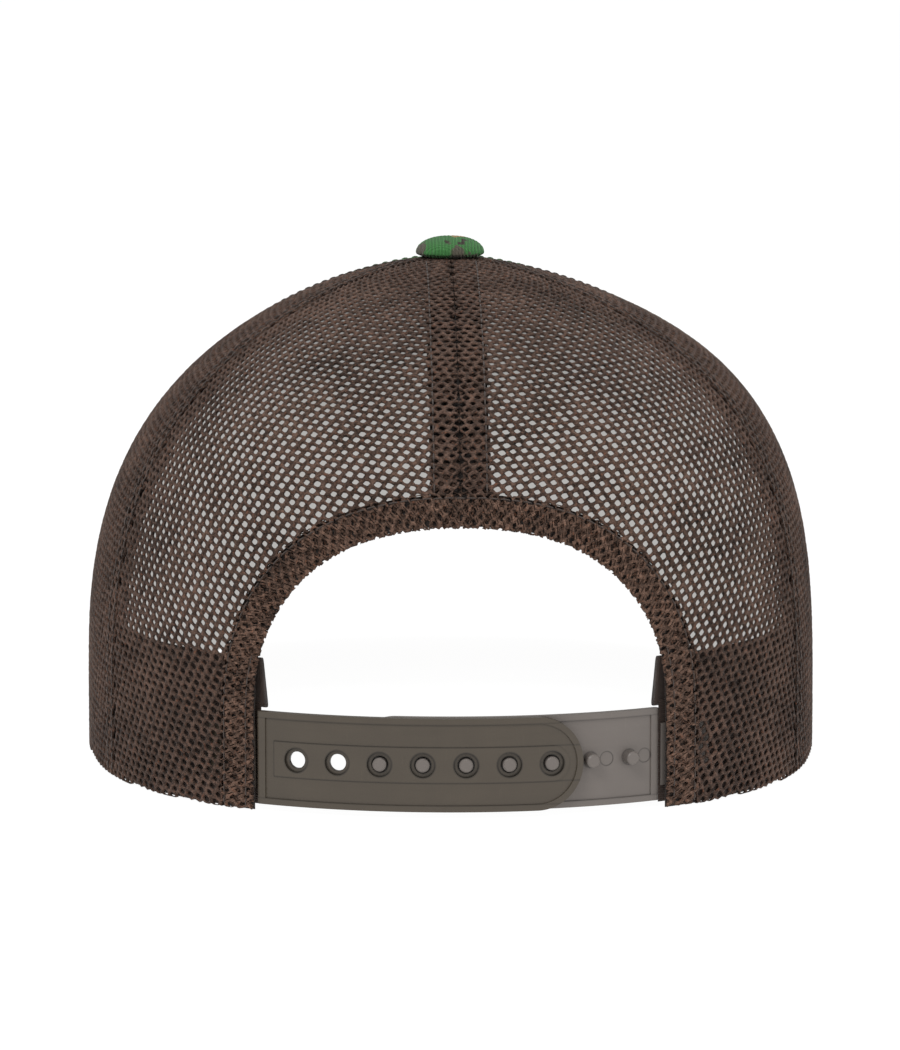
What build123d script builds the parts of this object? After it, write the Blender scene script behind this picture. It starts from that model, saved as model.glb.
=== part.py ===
"""Six-panel trucker cap: two structured front panels, four mesh panels, a curved visor and a snap strap.

Frame: +Z is up, the visor points along -Y, and +X is the wearer's left. The origin is the middle of the
head opening, on the surface that the cap rests on. Sizes are in millimetres. Azimuths are in degrees,
measured from the rear (+Y) towards +X. An inset is the distance inwards from the crown's outer face.
"""
from build123d import *
import os
from math import asin, cos, degrees, hypot, pi, radians, sin, sqrt, tan

# Crown
HALF_WIDTH = 87.3
REAR_DEPTH = 98.0
FRONT_DEPTH = 95.0
CROWN_HEIGHT = 118.0
RIM_POWER = 2.2          # exponent of the rim's superellipse
WALL_POWER = 3.68        # larger keeps the wall upright for longer
FRONT_WALL_GAIN = 0.5    # the front panels stand more upright
CROWN_POWER = 1.66       # smaller makes the top more pointed
APEX_HOLE = 2.6          # radius of the awl hole under the button
SEAM_STEP = 60.0         # azimuth from one seam to the next
SEAM_GAP = 0.3

# Cloth layers, as insets from the crown's outer face
LAYER_GAP = 0.15
MESH_THICK = 0.9
TWILL_THICK = 0.6
BUCKRAM_THICK = 0.85
TAPE_THICK = 0.5
TAPE_WIDTH = 13.0
TAPE_INSET = TWILL_THICK + BUCKRAM_THICK + 2 * LAYER_GAP
TAPE_FOOT = 1.5          # the tapes stop this far above the rim
FACING_THICK = 1.1
BAND_INSET = 3.2
BAND_THICK = 1.8
BAND_PLY = 0.5
BAND_HEIGHT = 34.0
BAND_OVERHANG = 2.4      # the sweatband's ends stand into the rear opening

# Rim: it rests on the rear, rises beside the ears and meets the visor's upper face
RIM_REST_TO = 62.0       # the y where it leaves the resting plane
RIM_RISE = [(20.0, 1.3), (-6.0, 3.7)]
RIM_JOIN = -28.0         # the y where it reaches the visor

# Rear opening
OPENING_HALF = 46.5
OPENING_SIDE_TOP = 20.0
OPENING_ARCH_RISE = 44.2
OPENING_POWER = 2.35
FACING_WIDTH = 7.5

# Visor
VISOR_REACH = 68.0       # beyond the front of the crown, on the centre line
VISOR_HALF_WIDTH = 88.6
VISOR_WIDEST = -46.0     # the y of its widest place
VISOR_HEEL = 17.0        # how far its rounded corners run back from there
VISOR_POWER = 2.45
VISOR_BEND = 205.0       # radius of the curve across it
VISOR_DROOP = 2.5        # slope towards the front, in degrees
EDGE_TUCK = 0.8          # sets the visor so that its lowest edge is level with the rim
BOARD_THICK = 2.0
COVER_THICK = 0.7
BOARD_EDGE = 1.6         # from the board's edge to the cover's
FLANGE_HEIGHT = 8.0      # the covers' seam allowance, turned up inside the crown
FLANGE_SETBACK = 0.2     # further inside than the seam tapes, because it stands upright
FLANGE_END = -48.0       # the y where it stops, ahead of the front side seams

# Button
BUTTON_RADIUS = 8.2
BUTTON_HEIGHT = 4.9
BUTTON_CLOTH = 0.6
BUTTON_METAL = 0.5
POST_RADIUS = 1.6
WASHER_RADIUS = 6.5
WASHER_THICK = 0.8

# Snap strap
STRAP_INSET = 1.2
STRAP_THICK = 1.7
STRAP_HEIGHT = 21.0
STRAP_FOOT = 1.4         # its lower edge above the rim
STRAP_GAP = 0.1          # between the two halves
HINGE_SETBACK = 1.0      # from the opening's edge to the line where a half bends
FIELD_DEPTH = 0.35
RIM_WIDTH = 1.4
RAIL_RISE = 0.2
RAIL_HEIGHT = 8.0
RAIL_MARGIN = 5.5        # from the first hole to the rail's square end
SNAP_COUNT = 7
SNAP_PITCH = 9.7
SNAPS_FREE = 2           # holes and pegs left unused at this fit
FIRST_HOLE = 9.0         # from the strap's root to its first hole
TIP_MARGIN = 7.2         # from the last hole or peg to the tip
HOLE_RADIUS = 1.9
COUNTERBORE_RADIUS = 2.8
COUNTERBORE_DEPTH = 0.7
PEG_RADIUS = 1.55
PEG_HEIGHT = 2.4
PEG_CHAMFER = 0.3
EJECTOR_RADIUS = 1.6
EJECTOR_DEPTH = 0.08
EJECTOR_SHIFT = 4.0
TAB_INSET = 1.25
TAB_THICK = 0.85
TAB_HEIGHT = 14.0
TAB_REACH = 10.0         # how far its end is sideways from the opening's edge
TAB_NECK = 0.5           # from the rounded hinge to the sewing tab

# Sampling of the curved cloth
RING_STEP = 10           # degrees
WALL_STEPS = 400
RING_LEVELS = [CROWN_HEIGHT * mark / 118 for mark in (0, 18, 36, 54, 70, 84, 95, 103, 109, 113, 115.5, 117, 117.8)]
SKIRT = 30.0             # every layer runs this far below the rim before it is trimmed


def rim_radius(azimuth, inset=0.0):
    """Distance from the centre to the rim."""
    east, north = sin(radians(azimuth)), cos(radians(azimuth))
    depth = (REAR_DEPTH if north > 0 else FRONT_DEPTH) - inset
    width = HALF_WIDTH - inset
    return (abs(east / width) ** RIM_POWER + abs(north / depth) ** RIM_POWER) ** (-1 / RIM_POWER)


def rim_y(x):
    """The rear rim's y at that x."""
    return REAR_DEPTH * (1 - abs(x / HALF_WIDTH) ** RIM_POWER) ** (1 / RIM_POWER)


def visor_top(x, y):
    """Height of the visor's upper face before its covers' seam."""
    sag = VISOR_BEND - sqrt(VISOR_BEND**2 - x * x)
    return VISOR_CREST + (y + FRONT_DEPTH) * tan(radians(VISOR_DROOP)) - sag


VISOR_THICK = BOARD_THICK + 2 * (COVER_THICK + LAYER_GAP)
EDGE_SAG = VISOR_BEND - sqrt(VISOR_BEND**2 - VISOR_HALF_WIDTH**2)
VISOR_CREST = EDGE_SAG + VISOR_THICK - EDGE_TUCK


def wall(azimuth, inset):
    """Points (reach, height) up the crown's wall at that azimuth, moved inwards by an inset."""
    reach = rim_radius(azimuth)
    upright = WALL_POWER + FRONT_WALL_GAIN * (1 - cos(radians(azimuth))) / 2
    outline = []
    for i in range(WALL_STEPS):
        turn = pi / 2 * (1 - i / WALL_STEPS)
        outline.append((reach * sin(turn) ** (2 / CROWN_POWER), CROWN_HEIGHT * cos(turn) ** (2 / upright)))
    moved = [(reach - inset, -2 * SKIRT)]
    for (r0, z0), (r1, z1) in zip(outline, outline[1:]):
        length = hypot(r1 - r0, z1 - z0)
        moved.append(((r0 + r1) / 2 - inset * (z1 - z0) / length, (z0 + z1) / 2 + inset * (r1 - r0) / length))
    return moved


def reach_at(points, height):
    """How far out a wall is at a height."""
    for (r0, z0), (r1, z1) in zip(points, points[1:]):
        if z0 < height <= z1:
            return r0 + (r1 - r0) * (height - z0) / (z1 - z0)
    return points[-1][0]


def dome(inset):
    """The crown as a filled shape, moved inwards by an inset."""
    azimuths = range(0, 360, RING_STEP)
    walls = [wall(azimuth, inset) for azimuth in azimuths]
    share = (CROWN_HEIGHT - inset) / CROWN_HEIGHT
    rings = []
    for height in [-SKIRT - inset] + [level * share for level in RING_LEVELS]:
        ring = []
        for azimuth, points in zip(azimuths, walls):
            reach, turn = reach_at(points, height), radians(azimuth)
            ring.append(Vector(reach * sin(turn), reach * cos(turn), height))
        rings.append(Wire([Edge.make_spline(ring, periodic=True)]))
    return Solid.make_loft(rings)


def cloth(outer, inner):
    """The whole crown's layer between two insets, with the awl hole through its top."""
    hole = Pos(0, 0, CROWN_HEIGHT) * Cylinder(APEX_HOLE, 40)
    return dome(outer) - dome(inner) - hole


def below_rim(raised=0.0):
    """Everything under the crown's lower edge, or under a line that runs that far above it."""
    join_x = HALF_WIDTH * (1 - abs(RIM_JOIN / FRONT_DEPTH) ** RIM_POWER) ** (1 / RIM_POWER)
    rise = [(RIM_REST_TO, 0.0), *RIM_RISE, (RIM_JOIN, visor_top(join_x, RIM_JOIN) + SEAM_GAP)]
    points = [Vector(0, y, z + raised) for y, z in rise]
    corners = [points[-1], (0, RIM_JOIN, -90), (0, 150, -90), (0, 150, raised), points[0]]
    edges = [Edge.make_spline(points, tangents=[(0, -1, 0), (0, -1, 0.4)])]
    edges += [Edge.make_line(a, b) for a, b in zip(corners, corners[1:])]
    rear = Pos(-150, 0, 0) * Solid.extrude(Face(Wire(edges)), Vector(300, 0, 0))
    front = bent_slab(-SEAM_GAP - raised, 80) & block(-150, 150, -150, RIM_JOIN, -90, 90)
    return rear + front


def block(x0, x1, y0, y1, z0, z1):
    """A box between two corners."""
    return Pos((x0 + x1) / 2, (y0 + y1) / 2, (z0 + z1) / 2) * Box(x1 - x0, y1 - y0, z1 - z0)


def seam_strip(azimuth, width):
    """An upright slab from the crown's axis outwards, which keeps the cloth beside a seam."""
    return Rot(0, 0, -azimuth) * block(-width / 2, width / 2, 0, 130, -40, 150)


def sector(azimuth):
    """Upright prism over one panel, half a seam gap inside the seams on both its sides."""
    tip = SEAM_GAP / 2 / sin(radians(SEAM_STEP / 2))
    corners = [Vector(0, tip, -40)]
    for turn in (-SEAM_STEP / 2, SEAM_STEP / 2):
        corners.append(Vector(200 * sin(radians(turn)), tip + 200 * cos(radians(turn)), -40))
    outline = Wire([Edge.make_line(corners[i - 1], corners[i]) for i in range(3)])
    return Rot(0, 0, -azimuth - SEAM_STEP / 2) * Solid.extrude(Face(outline), Vector(0, 0, 190))


def opening_outline(grow=0.0):
    """Prism through the rear wall: upright sides under a flattened arch."""
    half, rise = OPENING_HALF + grow, OPENING_ARCH_RISE + grow
    arch = []
    for i in range(1, 24):
        turn = pi * i / 24
        east = abs(cos(turn)) ** (2 / OPENING_POWER) * (1 if turn < pi / 2 else -1)
        arch.append((half * east, OPENING_SIDE_TOP + rise * sin(turn) ** (2 / OPENING_POWER)))
    left, right = (half, OPENING_SIDE_TOP), (-half, OPENING_SIDE_TOP)
    points = [Vector(x, 20, z) for x, z in [left, *arch, right]]
    low_right, low_left = Vector(-half, 20, -30), Vector(half, 20, -30)
    outline = Wire(
        [
            Edge.make_spline(points, tangents=[(0, 0, 1), (0, 0, -1)]),
            Edge.make_line(points[-1], low_right),
            Edge.make_line(low_right, low_left),
            Edge.make_line(low_left, points[0]),
        ]
    )
    return Solid.extrude(Face(outline), Vector(0, 120, 0))


def crown_panels():
    """Four mesh panels and two twill ones, with a gap at each seam."""
    names = ["rear_mesh_left", "side_mesh_left", "front_panel_left"]
    names += ["front_panel_right", "side_mesh_right", "rear_mesh_right"]
    mesh = cloth(0, MESH_THICK) - below_rim() - opening_outline(FACING_WIDTH + LAYER_GAP)
    twill = cloth(0, TWILL_THICK) - below_rim()
    panels = {}
    for i, name in enumerate(names):
        panels[name] = (twill if "front" in name else mesh) & sector(SEAM_STEP * i)
    return panels


def buckram():
    """Stiff lining fused behind each front panel."""
    outer = TWILL_THICK + LAYER_GAP
    lining = cloth(outer, outer + BUCKRAM_THICK) - below_rim()
    return {
        "buckram_left": lining & sector(2 * SEAM_STEP),
        "buckram_right": lining & sector(3 * SEAM_STEP),
    }


def seam_tapes():
    """Tapes over the seams inside: one from front to back over the top, and four at the sides."""
    layer = cloth(TAPE_INSET, TAPE_INSET + TAPE_THICK) - below_rim(TAPE_FOOT) - visor_flange(LAYER_GAP)
    centre = block(-TAPE_WIDTH / 2, TAPE_WIDTH / 2, -150, 150, -40, 150)
    tapes = {"centre_seam_tape": (layer & centre) - opening_outline(FACING_WIDTH + LAYER_GAP)}
    half_gap = TAPE_WIDTH / 2 + SEAM_GAP
    clear = block(-half_gap, half_gap, -150, 150, -40, 150)
    halves = {
        "rear": (1, block(-150, 150, SEAM_GAP / 2, 150, -40, 150)),
        "front": (2, block(-150, 150, -150, -SEAM_GAP / 2, -40, 150)),
    }
    for side, turn in (("left", 1), ("right", -1)):
        for end, (seams, half) in halves.items():
            strip = seam_strip(turn * seams * SEAM_STEP, TAPE_WIDTH) & half
            tapes[f"{end}_seam_tape_{side}"] = (layer & strip) - clear
    return tapes


def visor_flange(grow=0.0):
    """The seam allowance of the visor's covers, standing up inside the front rim."""
    inset = TAPE_INSET + FLANGE_SETBACK
    ring = crown_plug(inset - grow) - crown_plug(inset + TAPE_THICK + grow)
    ring = ring & bent_slab(-FLANGE_HEIGHT - grow, 2 * SEAM_GAP + grow)
    return ring & block(-150, 150, -150, FLANGE_END + grow, -40, 60)


def rear_facing():
    """Folded mesh edge round the rear opening, and the tape that backs its arch."""
    band = opening_outline(FACING_WIDTH) - opening_outline()
    above_strap = block(-150, 150, 0, 150, STRAP_FOOT + STRAP_HEIGHT + 2 * TAPE_FOOT, 150)
    return {
        "opening_facing": (cloth(0, FACING_THICK) & band) - below_rim(),
        "opening_tape": (cloth(TAPE_INSET, TAPE_INSET + TAPE_THICK) & band) & above_strap,
    }


def sweatband():
    """A folded twill band round the inside of the rim, with its foam core."""
    inner = BAND_INSET + BAND_THICK
    skin = BAND_PLY + LAYER_GAP / 3
    ends = block(-OPENING_HALF + BAND_OVERHANG, OPENING_HALF - BAND_OVERHANG, 0, 150, -40, 80)
    notch_half = OPENING_HALF + TAB_REACH / 2
    notch = block(-notch_half, notch_half, 0, 150, -40, STRAP_FOOT + STRAP_HEIGHT + 1)
    foam_end = block(-notch_half - 2, notch_half + 2, 0, 150, -40, 80)

    def strip(outer, depth, margin):
        layer = cloth(outer, depth) & below_rim(SEAM_GAP + BAND_HEIGHT - margin)
        return layer - below_rim(SEAM_GAP + margin)

    room = strip(BAND_INSET + BAND_PLY, inner - BAND_PLY, 2 * BAND_PLY)
    shell = strip(BAND_INSET, inner, 0) - room - ends - notch
    foam = strip(BAND_INSET + skin, inner - skin, 2 * BAND_PLY + LAYER_GAP) - foam_end
    return {"sweatband": shell, "sweatband_foam": foam}


def visor_plan(margin, low, high):
    """Upright prism of the visor's outline, drawn in by a margin: half a superellipse and two round heels."""
    width = VISOR_HALF_WIDTH - margin
    reach = FRONT_DEPTH + VISOR_REACH + VISOR_WIDEST - margin
    heel = VISOR_HEEL - margin
    front = []
    for i in range(17):
        turn = pi * i / 16
        east = abs(cos(turn)) ** (2 / VISOR_POWER) * (1 if turn < pi / 2 else -1)
        ahead = max(sin(turn), 0.0) ** (2 / VISOR_POWER)
        front.append(Vector(width * east, VISOR_WIDEST - reach * ahead, low))
    inner, bow, back = width - heel, heel * sqrt(0.5), VISOR_WIDEST + heel
    outline = Wire(
        [
            Edge.make_spline(front),
            Edge.make_three_point_arc(
                front[-1], (-inner - bow, VISOR_WIDEST + bow, low), (-inner, back, low)
            ),
            Edge.make_line((-inner, back, low), (inner, back, low)),
            Edge.make_three_point_arc((inner, back, low), (inner + bow, VISOR_WIDEST + bow, low), front[0]),
        ]
    )
    return Solid.extrude(Face(outline), Vector(0, 0, high - low))


def crown_plug(inset):
    """Upright prism of the rim's outline, drawn in by an inset."""
    points = []
    for i in range(36):
        azimuth = 10.0 * i
        reach = rim_radius(azimuth, inset)
        points.append(Vector(reach * sin(radians(azimuth)), reach * cos(radians(azimuth)), -40))
    outline = Wire([Edge.make_spline(points, periodic=True)])
    return Solid.extrude(Face(outline), Vector(0, 0, 90))


def bent_slab(top, bottom):
    """Curved slab between two depths under the visor's upper face, much wider and longer than the visor."""
    half = radians(35)
    rims = []
    for depth in (top, bottom):
        radius = VISOR_BEND - depth
        arc = [(radius * sin(turn), -VISOR_BEND + radius * cos(turn)) for turn in (-half, 0, half)]
        rims.append([Vector(x, 0, z) for x, z in arc])
    upper, lower = rims
    outline = Wire(
        [
            Edge.make_three_point_arc(*upper),
            Edge.make_line(upper[2], lower[2]),
            Edge.make_three_point_arc(*lower[::-1]),
            Edge.make_line(lower[0], upper[0]),
        ]
    )
    slab = Pos(0, 120, 0) * Solid.extrude(Face(outline), Vector(0, -240, 0))
    return Pos(0, -FRONT_DEPTH, VISOR_CREST) * Rot(VISOR_DROOP, 0, 0) * slab


def visor():
    """A stiff board between an upper and a lower cover that meet round its edge."""
    board_top = COVER_THICK + LAYER_GAP
    pocket = visor_plan(BOARD_EDGE - LAYER_GAP, -40, 60) & bent_slab(COVER_THICK, VISOR_THICK - COVER_THICK)
    pocket = pocket - crown_plug(-SEAM_GAP / 2)
    outside = visor_plan(0, -40, 60) - crown_plug(TAPE_INSET + FLANGE_SETBACK + TAPE_THICK / 2)
    upper = outside & bent_slab(0, VISOR_THICK / 2 - SEAM_GAP / 4)
    lower = outside & bent_slab(VISOR_THICK / 2 + SEAM_GAP / 4, VISOR_THICK)
    board = visor_plan(BOARD_EDGE, -40, 60) & bent_slab(board_top, board_top + BOARD_THICK)
    return {
        "visor_board": board - crown_plug(-SEAM_GAP),
        "visor_top_cover": (upper - pocket) + visor_flange(),
        "visor_under_cover": lower - pocket,
    }


def button():
    """Covered button: a metal cap under cloth, held by a tack that is clenched over a washer inside."""
    seat = CROWN_HEIGHT - 0.3
    rim = seat + 0.9
    dome = BUTTON_HEIGHT - 0.9

    def mound(radius, height, base):
        ball = (radius**2 + height**2) / (2 * height)
        return Pos(0, 0, base + height - ball) * Sphere(ball) & block(-9, 9, -9, 9, base, base + 9)

    inset = BUTTON_CLOTH + LAYER_GAP
    cloth_dome = mound(BUTTON_RADIUS, dome, rim)
    curl = Pos(0, 0, rim - 0.45) * Cone(BUTTON_RADIUS - 0.9, BUTTON_RADIUS, 0.9)
    hollow = mound(BUTTON_RADIUS - BUTTON_CLOTH, dome - BUTTON_CLOTH, rim)
    well = Pos(0, 0, rim - 0.5) * Cylinder(BUTTON_RADIUS - 2.2, 1.4)
    cover = cloth_dome + curl - hollow - well
    radius, height = BUTTON_RADIUS - inset, dome - inset - LAYER_GAP
    metal = mound(radius, height, rim + LAYER_GAP)
    metal = metal - mound(radius - BUTTON_METAL, height - BUTTON_METAL, rim + LAYER_GAP)
    washer_top = CROWN_HEIGHT - TAPE_INSET - TAPE_THICK - LAYER_GAP - 0.6
    washer = Pos(0, 0, washer_top - WASHER_THICK / 2) * Cylinder(WASHER_RADIUS, WASHER_THICK)
    washer = washer - Pos(0, 0, washer_top) * Cylinder(POST_RADIUS + LAYER_GAP, 3)
    foot = washer_top - WASHER_THICK - 0.7
    head = Pos(0, 0, rim + 0.6) * Cylinder(BUTTON_RADIUS - 2.6, 0.6)
    post_length = rim + 0.6 - foot
    post = Pos(0, 0, foot + post_length / 2) * Cylinder(POST_RADIUS, post_length)
    clench = Pos(0, 0, foot + 0.25) * Cylinder(POST_RADIUS + 1.0, 0.5)
    return {
        "button_cover": cover,
        "button_cap": metal,
        "button_tack": head + post + clench,
        "button_washer": washer,
    }


# The strap lies on a round arc through the rear wall's middle and both sides of the opening.
ARC_SAG = REAR_DEPTH - rim_y(OPENING_HALF)
ARC_RADIUS = (OPENING_HALF**2 + ARC_SAG**2) / (2 * ARC_SAG)
ARC_CENTRE = REAR_DEPTH - ARC_RADIUS
HOLES_OUT = ARC_RADIUS - STRAP_INSET
PEGS_OUT = HOLES_OUT - STRAP_THICK - STRAP_GAP
ROOT_ANGLE = degrees(asin((OPENING_HALF - HINGE_SETBACK) / ARC_RADIUS))
STRAP_MIDDLE = STRAP_FOOT + STRAP_HEIGHT / 2


def arc_turn(length):
    """Degrees about the strap's centre for a length along its outer face."""
    return degrees(length / HOLES_OUT)


def around(angle, radius=0.0, height=0.0):
    """Place on the strap's arc: +X of the moved frame points outwards."""
    return Pos(0, ARC_CENTRE, height) * Rot(0, 0, 90 - angle) * Pos(radius, 0, 0)


def arc_block(inner, outer, low, high, start, end):
    """A curved bar between two radii, two heights and two angles."""
    face = Plane.XZ * Pos((inner + outer) / 2, (low + high) / 2) * Rectangle(outer - inner, high - low)
    return around(end) * revolve(face, Axis.Z, end - start)


def peg_cylinder(angle, radius, inner, outer, height=STRAP_MIDDLE):
    """A round bar that points out of the strap."""
    bar = Rot(0, 90, 0) * Cylinder(radius, outer - inner)
    return around(angle, (inner + outer) / 2, height) * bar


def rounded_strip(inner, outer, half, root, tip, sense):
    """Curved strip with a square root and a round tip. sense is +1 where the tip is at smaller angles."""
    tip_centre = tip + sense * arc_turn(half)
    low, high = STRAP_MIDDLE - half, STRAP_MIDDLE + half
    bar = arc_block(inner, outer, low, high, min(root, tip_centre), max(root, tip_centre))
    reach = arc_turn(half) + 2
    end_block = arc_block(inner, outer, low, high, tip_centre - reach, tip_centre + reach)
    end = end_block & peg_cylinder(tip_centre, half, inner - 3, outer + 3)
    return bar + end


def strap_body(out, root, tip, sense):
    """One strap half before its holes or pegs: a plate with a raised rim and a hinge bead at its root."""
    half = STRAP_HEIGHT / 2
    plate = rounded_strip(out - STRAP_THICK, out, half, root, tip, sense)
    start = root - sense * arc_turn(RIM_WIDTH)
    end = tip + sense * arc_turn(RIM_WIDTH)
    field = rounded_strip(out - FIELD_DEPTH, out + 1, half - RIM_WIDTH, start, end, sense)
    bead = around(root, out - STRAP_THICK / 2, STRAP_MIDDLE) * Cylinder(STRAP_THICK / 2, STRAP_HEIGHT)
    return (plate - field) + bead


def strap_with_holes():
    """The half that is sewn in at the wearer's left, with its row of holes."""
    root = ROOT_ANGLE
    first = root - arc_turn(FIRST_HOLE)
    holes = [first - arc_turn(SNAP_PITCH) * i for i in range(SNAP_COUNT)]
    tip = holes[-1] - arc_turn(TIP_MARGIN)
    body = strap_body(HOLES_OUT, root, tip, 1)
    field = HOLES_OUT - FIELD_DEPTH
    rail_root, rail_tip = first + arc_turn(RAIL_MARGIN), holes[-1] - arc_turn(RAIL_HEIGHT / 2)
    body = body + rounded_strip(field - 0.2, field + RAIL_RISE, RAIL_HEIGHT / 2, rail_root, rail_tip, 1)
    shoulder = field + RAIL_RISE - COUNTERBORE_DEPTH
    for angle in holes:
        body = body - peg_cylinder(angle, HOLE_RADIUS, HOLES_OUT - 4, HOLES_OUT + 2)
        body = body - peg_cylinder(angle, COUNTERBORE_RADIUS, shoulder, HOLES_OUT + 2)
    return body, holes


def strap_with_pegs(holes):
    """The half that is sewn in at the wearer's right, under the other one, with its row of pegs."""
    pegs = [holes[SNAPS_FREE] - arc_turn(SNAP_PITCH) * i for i in range(SNAP_COUNT)]
    tip = pegs[0] + arc_turn(TIP_MARGIN)
    body = strap_body(PEGS_OUT, -ROOT_ANGLE, tip, -1)
    field = PEGS_OUT - FIELD_DEPTH
    for angle in pegs:
        mark = angle - arc_turn(EJECTOR_SHIFT)
        body = body - peg_cylinder(mark, EJECTOR_RADIUS, field - EJECTOR_DEPTH, field + 0.5)
    for angle in pegs:
        shank = peg_cylinder(angle, PEG_RADIUS, field - 0.5, field + PEG_HEIGHT - PEG_CHAMFER)
        point = Rot(0, 90, 0) * Cone(PEG_RADIUS, PEG_RADIUS - PEG_CHAMFER, PEG_CHAMFER)
        body = body + shank + around(angle, field + PEG_HEIGHT - PEG_CHAMFER / 2, STRAP_MIDDLE) * point
    return body


def sewing_tab(side, inset, strap_out):
    """The part of a strap half that is sewn in between the mesh and the sweatband."""
    hinge = (strap_out - STRAP_THICK / 2) * sin(radians(ROOT_ANGLE))
    start, end = hinge + STRAP_THICK / 2 + TAB_NECK, OPENING_HALF + TAB_REACH
    low, high = STRAP_MIDDLE - TAB_HEIGHT / 2, STRAP_MIDDLE + TAB_HEIGHT / 2
    zone = block(start, end, 20, 150, low, high)
    return cloth(inset, inset + TAB_THICK) & (zone if side > 0 else mirror(zone, Plane.YZ))


def snap_strap():
    """Both strap halves and their sewn-in tabs."""
    holes_half, holes = strap_with_holes()
    return {
        "snap_strap_holes": holes_half,
        "snap_strap_pegs": strap_with_pegs(holes),
        "strap_tab_left": sewing_tab(1, TAB_INSET, HOLES_OUT),
        "strap_tab_right": sewing_tab(-1, TAB_INSET + TAB_THICK + LAYER_GAP, PEGS_OUT),
    }


def main():
    os.makedirs("parts", exist_ok=True)
    nodes = {}
    for build in (crown_panels, buckram, seam_tapes, rear_facing, sweatband, visor, button, snap_strap):
        nodes.update(build())
    for name, shape in nodes.items():
        export_step(shape, f"parts/{name}.step")


main()
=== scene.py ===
"""Looks of a six-panel trucker cap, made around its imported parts.

Sizes are in millimetres until a mesh is written, which turns them to metres. Azimuths are in radians, measured
from the rear (+Y) towards +X. An inset is the distance inwards from the crown's outer face.
"""

import math

import bpy
import numpy as np
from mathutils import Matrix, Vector


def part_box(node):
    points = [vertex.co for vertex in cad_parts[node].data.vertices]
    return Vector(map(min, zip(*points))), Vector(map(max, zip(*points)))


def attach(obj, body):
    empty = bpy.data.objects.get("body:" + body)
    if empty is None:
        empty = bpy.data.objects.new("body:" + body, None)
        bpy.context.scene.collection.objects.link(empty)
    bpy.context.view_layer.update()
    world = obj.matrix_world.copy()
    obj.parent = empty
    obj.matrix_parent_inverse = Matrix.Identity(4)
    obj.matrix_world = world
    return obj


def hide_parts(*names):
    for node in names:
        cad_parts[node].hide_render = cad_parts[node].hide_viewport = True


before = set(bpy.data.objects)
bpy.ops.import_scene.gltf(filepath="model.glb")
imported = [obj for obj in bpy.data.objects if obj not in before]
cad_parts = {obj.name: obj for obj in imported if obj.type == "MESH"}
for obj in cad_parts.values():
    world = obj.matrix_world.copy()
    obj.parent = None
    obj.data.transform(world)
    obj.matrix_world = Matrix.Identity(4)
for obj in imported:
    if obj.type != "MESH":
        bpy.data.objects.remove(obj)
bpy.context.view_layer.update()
bpy.ops.object.select_all(action="DESELECT")
rng = np.random.default_rng(7)

# ---------------------------------------------------------------- sizes
MM = 0.001
HALF_WIDTH, REAR_DEPTH, FRONT_DEPTH, CROWN_HEIGHT = 87.3, 98.0, 95.0, 118.0
RIM_POWER, WALL_POWER, FRONT_WALL_GAIN, CROWN_POWER = 2.2, 3.68, 0.5, 1.66
SEAM_STEP = math.radians(60)
APEX_HOLE = 2.6
RIM_CURVE = [(62.0, 0.0, 0.0), (20.0, 1.3, -0.054), (-6.0, 3.7, -0.129), (-28.0, 7.7, -0.4)]
OPENING_HALF, OPENING_SIDE_TOP, OPENING_RISE, OPENING_POWER = 46.5, 20.0, 44.2, 2.35
FACING_WIDTH = 7.5
ARCH_TOP = OPENING_SIDE_TOP + OPENING_RISE + FACING_WIDTH
VISOR_REACH, VISOR_HALF_WIDTH, VISOR_WIDEST, VISOR_HEEL, VISOR_POWER = 68.0, 88.6, -46.0, 17.0, 2.45
VISOR_BEND, VISOR_SLOPE, VISOR_THICK, VISOR_CREST = 205.0, math.tan(math.radians(2.5)), 3.7, 23.04
STRAP_TOP, STRAP_MIDDLE, STRAP_CENTRE, STRAP_RADIUS, STRAP_ROOT = 22.4, 11.9, 2.04, 94.76, math.radians(28.304)
SNAP_PITCH, SNAP_COUNT, RAIL_HALF, MARK_RADIUS = 9.7, 7, 4.0, 1.6
NET_MIDDLE = 0.47
NET_RISES = (NET_MIDDLE, 0.40, 0.24)  # inset of the net's middle, and half thickness at its ridges and hole edges
FACING_RISES, ALLOWANCE_RISES = (NET_MIDDLE, 0.33, 0.17), (1.28, 0.3, 0.16)
MESH_ROW = np.array([2.65, 0.25])
MESH_COLUMN = np.array([-0.84, 1.65])
HOLE_CORNER, HOLE_SIDE = 0.57, 0.68  # how far out from its centre a net cell's hole reaches, as a share
TWILL_LAYER, LINING_LAYER, BACKING_LAYER, HEM_LAYER = (0.0, 0.58), (0.85, 1.55), (1.08, 1.23), (1.1, 1.24)
TAPE_LAYER, STRAP_SHADE_LAYER, BAND_LAYER = (1.8, 2.22), (3.11, 3.18), (3.25, 4.95)
TAPE_HALF, BAND_HEIGHT = 6.7, 33.9
STITCH_LIFT, SEAM_TOP = 0.05, 8.5
VISOR_SEAT = 1.9  # how far the visor's covers run in under the crown's rim
VISOR_STITCH_MARGINS = (4.5, 11.0, 18.0, 25.5, 33.5, 42.0)
CARD_TOP, CARD_LAYER, CARD_TURNS = 113.5, (6.2, 6.6), (92, 268)
ROOM_LIGHT = 0.55
LAMPS = (("key", (0.9, 1.5, 1.7), 0.9, 22), ("fill", (-1.5, 1.3, 0.7), 1.2, 8), ("top", (0.0, -0.1, 1.9), 1.2, 9))


# ---------------------------------------------------------------- the crown's shape
def rim_reach(azimuth):
    east, north = np.sin(azimuth), np.cos(azimuth)
    depth = np.where(north > 0, REAR_DEPTH, FRONT_DEPTH)
    total = np.abs(east / HALF_WIDTH) ** RIM_POWER + np.abs(north / depth) ** RIM_POWER
    return total ** (-1 / RIM_POWER)


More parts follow.
